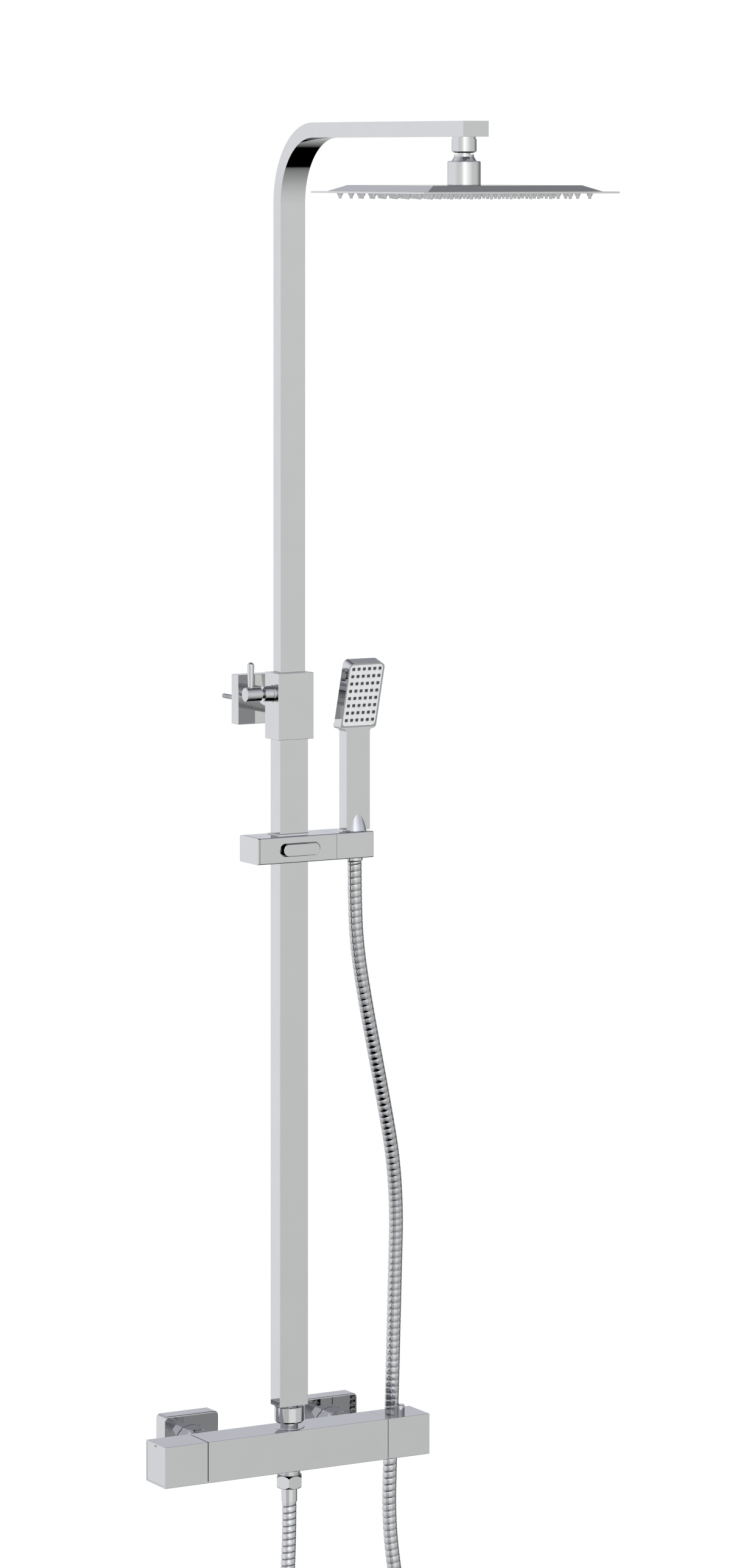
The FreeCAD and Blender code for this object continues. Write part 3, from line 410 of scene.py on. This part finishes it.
def on_track(track, distance, angle, radius):
    """The point at an angle and radius round a track, a distance along it."""
    at = bisect.bisect_left(track, distance, key=lambda entry: entry[0])
    last = track[max(at, 1)]
    first = track[max(at, 1) - 1]
    part = (distance - first[0]) / (last[0] - first[0])
    place, across, other = (first[side].lerp(last[side], part) for side in (1, 2, 3))
    return place + (across * math.cos(angle) + other * math.sin(angle)) * radius


def wound_rings(made, track, radius, profile, pitch):
    """Rings that climb by one pitch on their way round, held within the track's two ends."""
    length = track[-1][0]
    turns = round(length / pitch)
    rings = []
    for ring in range(-len(profile), (turns + 1) * len(profile) + 1):
        turn, index = divmod(ring, len(profile))
        along, size = profile[index]
        verts = []
        for side in range(HOSE_SIDES):
            part = side / HOSE_SIDES
            distance = min(max((turn + along + part) * length / turns, 0.0), length)
            verts.append(made.verts.new(on_track(track, distance, 2 * math.pi * part, radius * size)))
        rings.append(verts)
    return rings


def skin(made, rings, step):
    """Faces between the rings; the seam joins a ring's end to the start of the ring a turn on."""
    for at in range(len(rings) - 1):
        first, second = rings[at], rings[at + 1]
        for side in range(len(first) - 1):
            made.faces.new((first[side], second[side], second[side + 1], first[side + 1]))
        if at + 1 + step < len(rings):
            third, fourth = rings[at + step], rings[at + 1 + step]
            made.faces.new((first[-1], second[-1], fourth[0], third[0]))


def wound(name, points, radius, profile, pitch):
    """A tube wound from a strip of the given profile along a line, closed at both ends."""
    made = bmesh.new()
    skin(made, wound_rings(made, frames(points), radius, profile, pitch), len(profile))
    bmesh.ops.remove_doubles(made, verts=made.verts, dist=SAME_POINT)
    bmesh.ops.holes_fill(made, edges=[edge for edge in made.edges if edge.is_boundary], sides=0)
    for face in made.faces:
        face.smooth = len(face.verts) <= 4
    bmesh.ops.recalc_face_normals(made, faces=made.faces)
    mesh = bpy.data.meshes.new(name)
    made.to_mesh(mesh)
    made.free()
    piece = bpy.data.objects.new(name, mesh)
    scene.collection.objects.link(piece)
    return piece


def add_hose():
    line = centre_line(HOSE_ROUTE)
    hose = wound("shower_hose", line, HOSE_RADIUS, RIB, RIB_PITCH)
    hose.data.materials.append(MATERIALS["hose_metal"])
    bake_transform(hose)
    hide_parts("hose")


# ---- put together --------------------------------------------------------------------------

scene.view_settings.view_transform = "Standard"
add_camera()
add_world()
dress_cad_nodes()
add_hose()
add_floor()
add_light("key", (-1.5, -3.5, 3.0), (0, -0.1, 0.6), 80)
add_light("fill", (-1.6, -2.8, -0.1), (0, -0.4, 1.17), 65)
